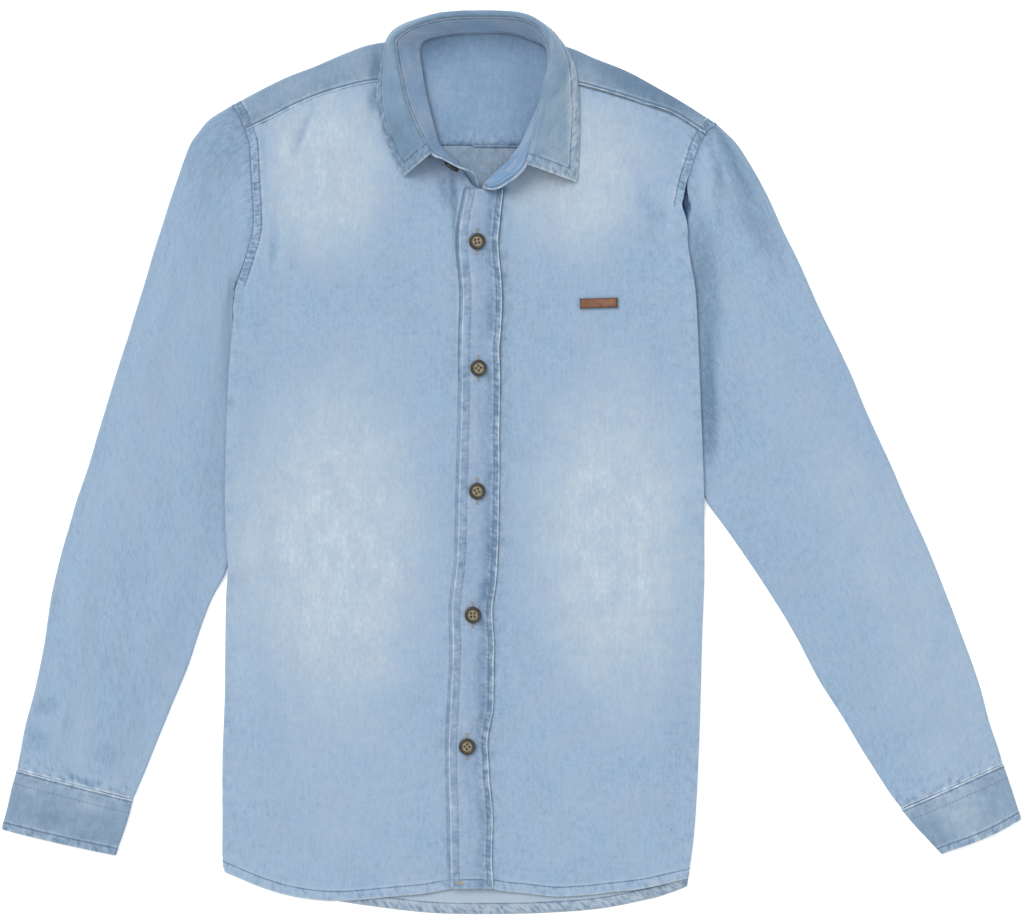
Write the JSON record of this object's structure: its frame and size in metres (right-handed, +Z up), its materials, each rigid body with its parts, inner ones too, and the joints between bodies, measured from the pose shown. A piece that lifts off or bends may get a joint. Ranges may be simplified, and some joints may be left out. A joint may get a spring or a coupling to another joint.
{
  "type": "denim shirt",
  "caption": "Long-sleeved shirt of washed denim laid flat on its back, with a turned-down collar, a buttoned placket, curved tails and plain cuffs.",
  "frame": {"origin": "centre of the footprint, on the surface that the shirt lies on", "axes": "+X towards the wearer's left, across the sleeves; +Y from the tails to the collar; +Z up, out of the surface"},
  "size_m": [0.714, 0.6331, 0.0278],
  "materials": {
    "body_cloth": "light washed denim",
    "yoke_cloth": "washed denim, a shade darker",
    "cuff_cloth": "washed denim, mottled and darker",
    "button_horn": "mottled horn look, polished",
    "tab_leather": "smooth brown leather with dark edges"
  },
  "bodies": {
    "root": {"back": "body_cloth", "yoke": "yoke_cloth", "front_right": "body_cloth", "front_left": "body_cloth", "placket": "yoke_cloth", "sleeve_right": "body_cloth", "sleeve_left": "body_cloth", "cuff_right": "cuff_cloth", "cuff_left": "cuff_cloth", "collar_stand": "yoke_cloth", "collar_fall": "yoke_cloth", "button_1": "button_horn", "button_2": "button_horn", "button_3": "button_horn", "button_4": "button_horn", "button_5": "button_horn", "button_collar": "button_horn", "leather_tab": "tab_leather"}
  },
  "joints": []
}
